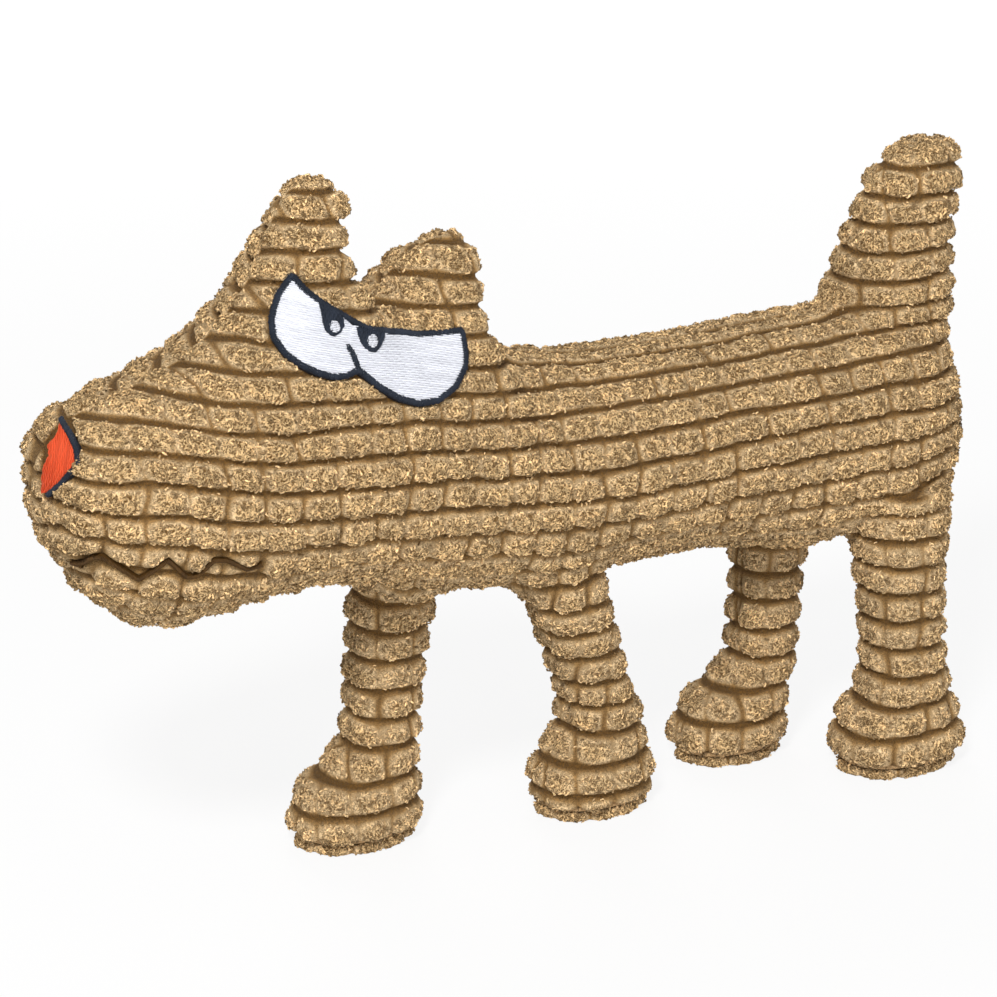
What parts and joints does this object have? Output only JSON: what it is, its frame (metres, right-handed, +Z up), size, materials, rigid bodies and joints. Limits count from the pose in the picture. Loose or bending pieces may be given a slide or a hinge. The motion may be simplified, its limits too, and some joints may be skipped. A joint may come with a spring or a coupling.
{
  "type": "stuffed dog toy",
  "caption": "Stuffed toy dog in wide-rib plush with embroidered frowning eyes and nose, upright ears, raised tail, stuffed legs with flat soles and an inner squeaker.",
  "frame": {"origin": "on the floor under the middle of the toy", "axes": "+Z up, -X towards the nose, +X towards the tail, -Y towards the embroidered left side"},
  "size_m": [0.3479, 0.0837, 0.2377],
  "materials": {
    "rib_plush": "tan wide-rib fleece plush, ribs cut into square tufts",
    "sole_plush": "flat piece of the same tan plush",
    "white_thread": "satin-stitch embroidery thread",
    "navy_thread": "satin-stitch embroidery thread",
    "orange_thread": "satin-stitch embroidery thread",
    "brown_thread": "zigzag stitched thread",
    "squeaker_plastic": "blow-moulded soft polyethylene"
  },
  "bodies": {
    "torso": {"torso": "rib_plush", "squeaker_bellows": "squeaker_plastic", "squeaker_base": "squeaker_plastic", "squeaker_reed_tube": "squeaker_plastic", "squeaker_reed": "squeaker_plastic"},
    "head": {"head": "rib_plush", "eye_outline": "navy_thread", "eye_white_front": "white_thread", "pupil_front": "navy_thread", "highlight_front": "white_thread", "eye_white_rear": "white_thread", "pupil_rear": "navy_thread", "highlight_rear": "white_thread", "nose_patch": "orange_thread", "nose_edge": "navy_thread", "mouth_line": "brown_thread"},
    "ear_front": {"ear_front": "rib_plush"},
    "ear_rear": {"ear_rear": "rib_plush"},
    "tail": {"tail": "rib_plush"},
    "squeaker_cap": {"squeaker_cap": "squeaker_plastic"},
    "leg_front_right": {"leg_front_right": "rib_plush", "sole_front_right": "sole_plush"},
    "leg_front_left": {"leg_front_left": "rib_plush", "sole_front_left": "sole_plush"},
    "leg_rear_right": {"leg_rear_right": "rib_plush", "sole_rear_right": "sole_plush"},
    "leg_rear_left": {"leg_rear_left": "rib_plush", "sole_rear_left": "sole_plush"}
  },
  "joints": [
    {"name": "head_turn", "type": "hinge", "parent": "torso", "child": "head", "pos_m": [-0.00041, 0, 0.1176], "axis": [0, 0, 1], "range_deg": [-15, 15], "stiffness_Nm_per_rad": 0.6},
    {"name": "ear_front_bend", "type": "hinge", "parent": "head", "child": "ear_front", "pos_m": [-0.1158, 0, 0.19216], "axis": [1, 0, 0], "range_deg": [-15, 15], "stiffness_Nm_per_rad": 0.03},
    {"name": "ear_rear_bend", "type": "hinge", "parent": "head", "child": "ear_rear", "pos_m": [-0.0292, 0, 0.17116], "axis": [1, 0, 0], "range_deg": [-15, 15], "stiffness_Nm_per_rad": 0.03},
    {"name": "tail_sway", "type": "hinge", "parent": "torso", "child": "tail", "pos_m": [0.112, 0, 0.15], "axis": [1, 0, 0], "range_deg": [-20, 20], "stiffness_Nm_per_rad": 0.15},
    {"name": "leg_front_right_swing", "type": "hinge", "parent": "torso", "child": "leg_front_right", "pos_m": [-0.03901, 0.01491, 0.088], "axis": [0, 1, 0], "range_deg": [-10, 12], "stiffness_Nm_per_rad": 0.8},
    {"name": "leg_front_left_swing", "type": "hinge", "parent": "torso", "child": "leg_front_left", "pos_m": [0.00056, -0.0142, 0.088], "axis": [0, 1, 0], "range_deg": [-7, 10], "stiffness_Nm_per_rad": 0.8},
    {"name": "leg_rear_right_swing", "type": "hinge", "parent": "torso", "child": "leg_rear_right", "pos_m": [0.10709, 0.01402, 0.088], "axis": [0, 1, 0], "range_deg": [-12, 7], "stiffness_Nm_per_rad": 0.8},
    {"name": "leg_rear_left_swing", "type": "hinge", "parent": "torso", "child": "leg_rear_left", "pos_m": [0.13662, -0.02201, 0.088], "axis": [0, 1, 0], "range_deg": [-12, 12], "stiffness_Nm_per_rad": 0.8},
    {"name": "squeaker_press", "type": "slide", "parent": "torso", "child": "squeaker_cap", "axis": [1, 0, 0], "range_m": [0, 0.007], "stiffness_N_per_m": 600, "deforming": ["squeaker_bellows"]}
  ]
}
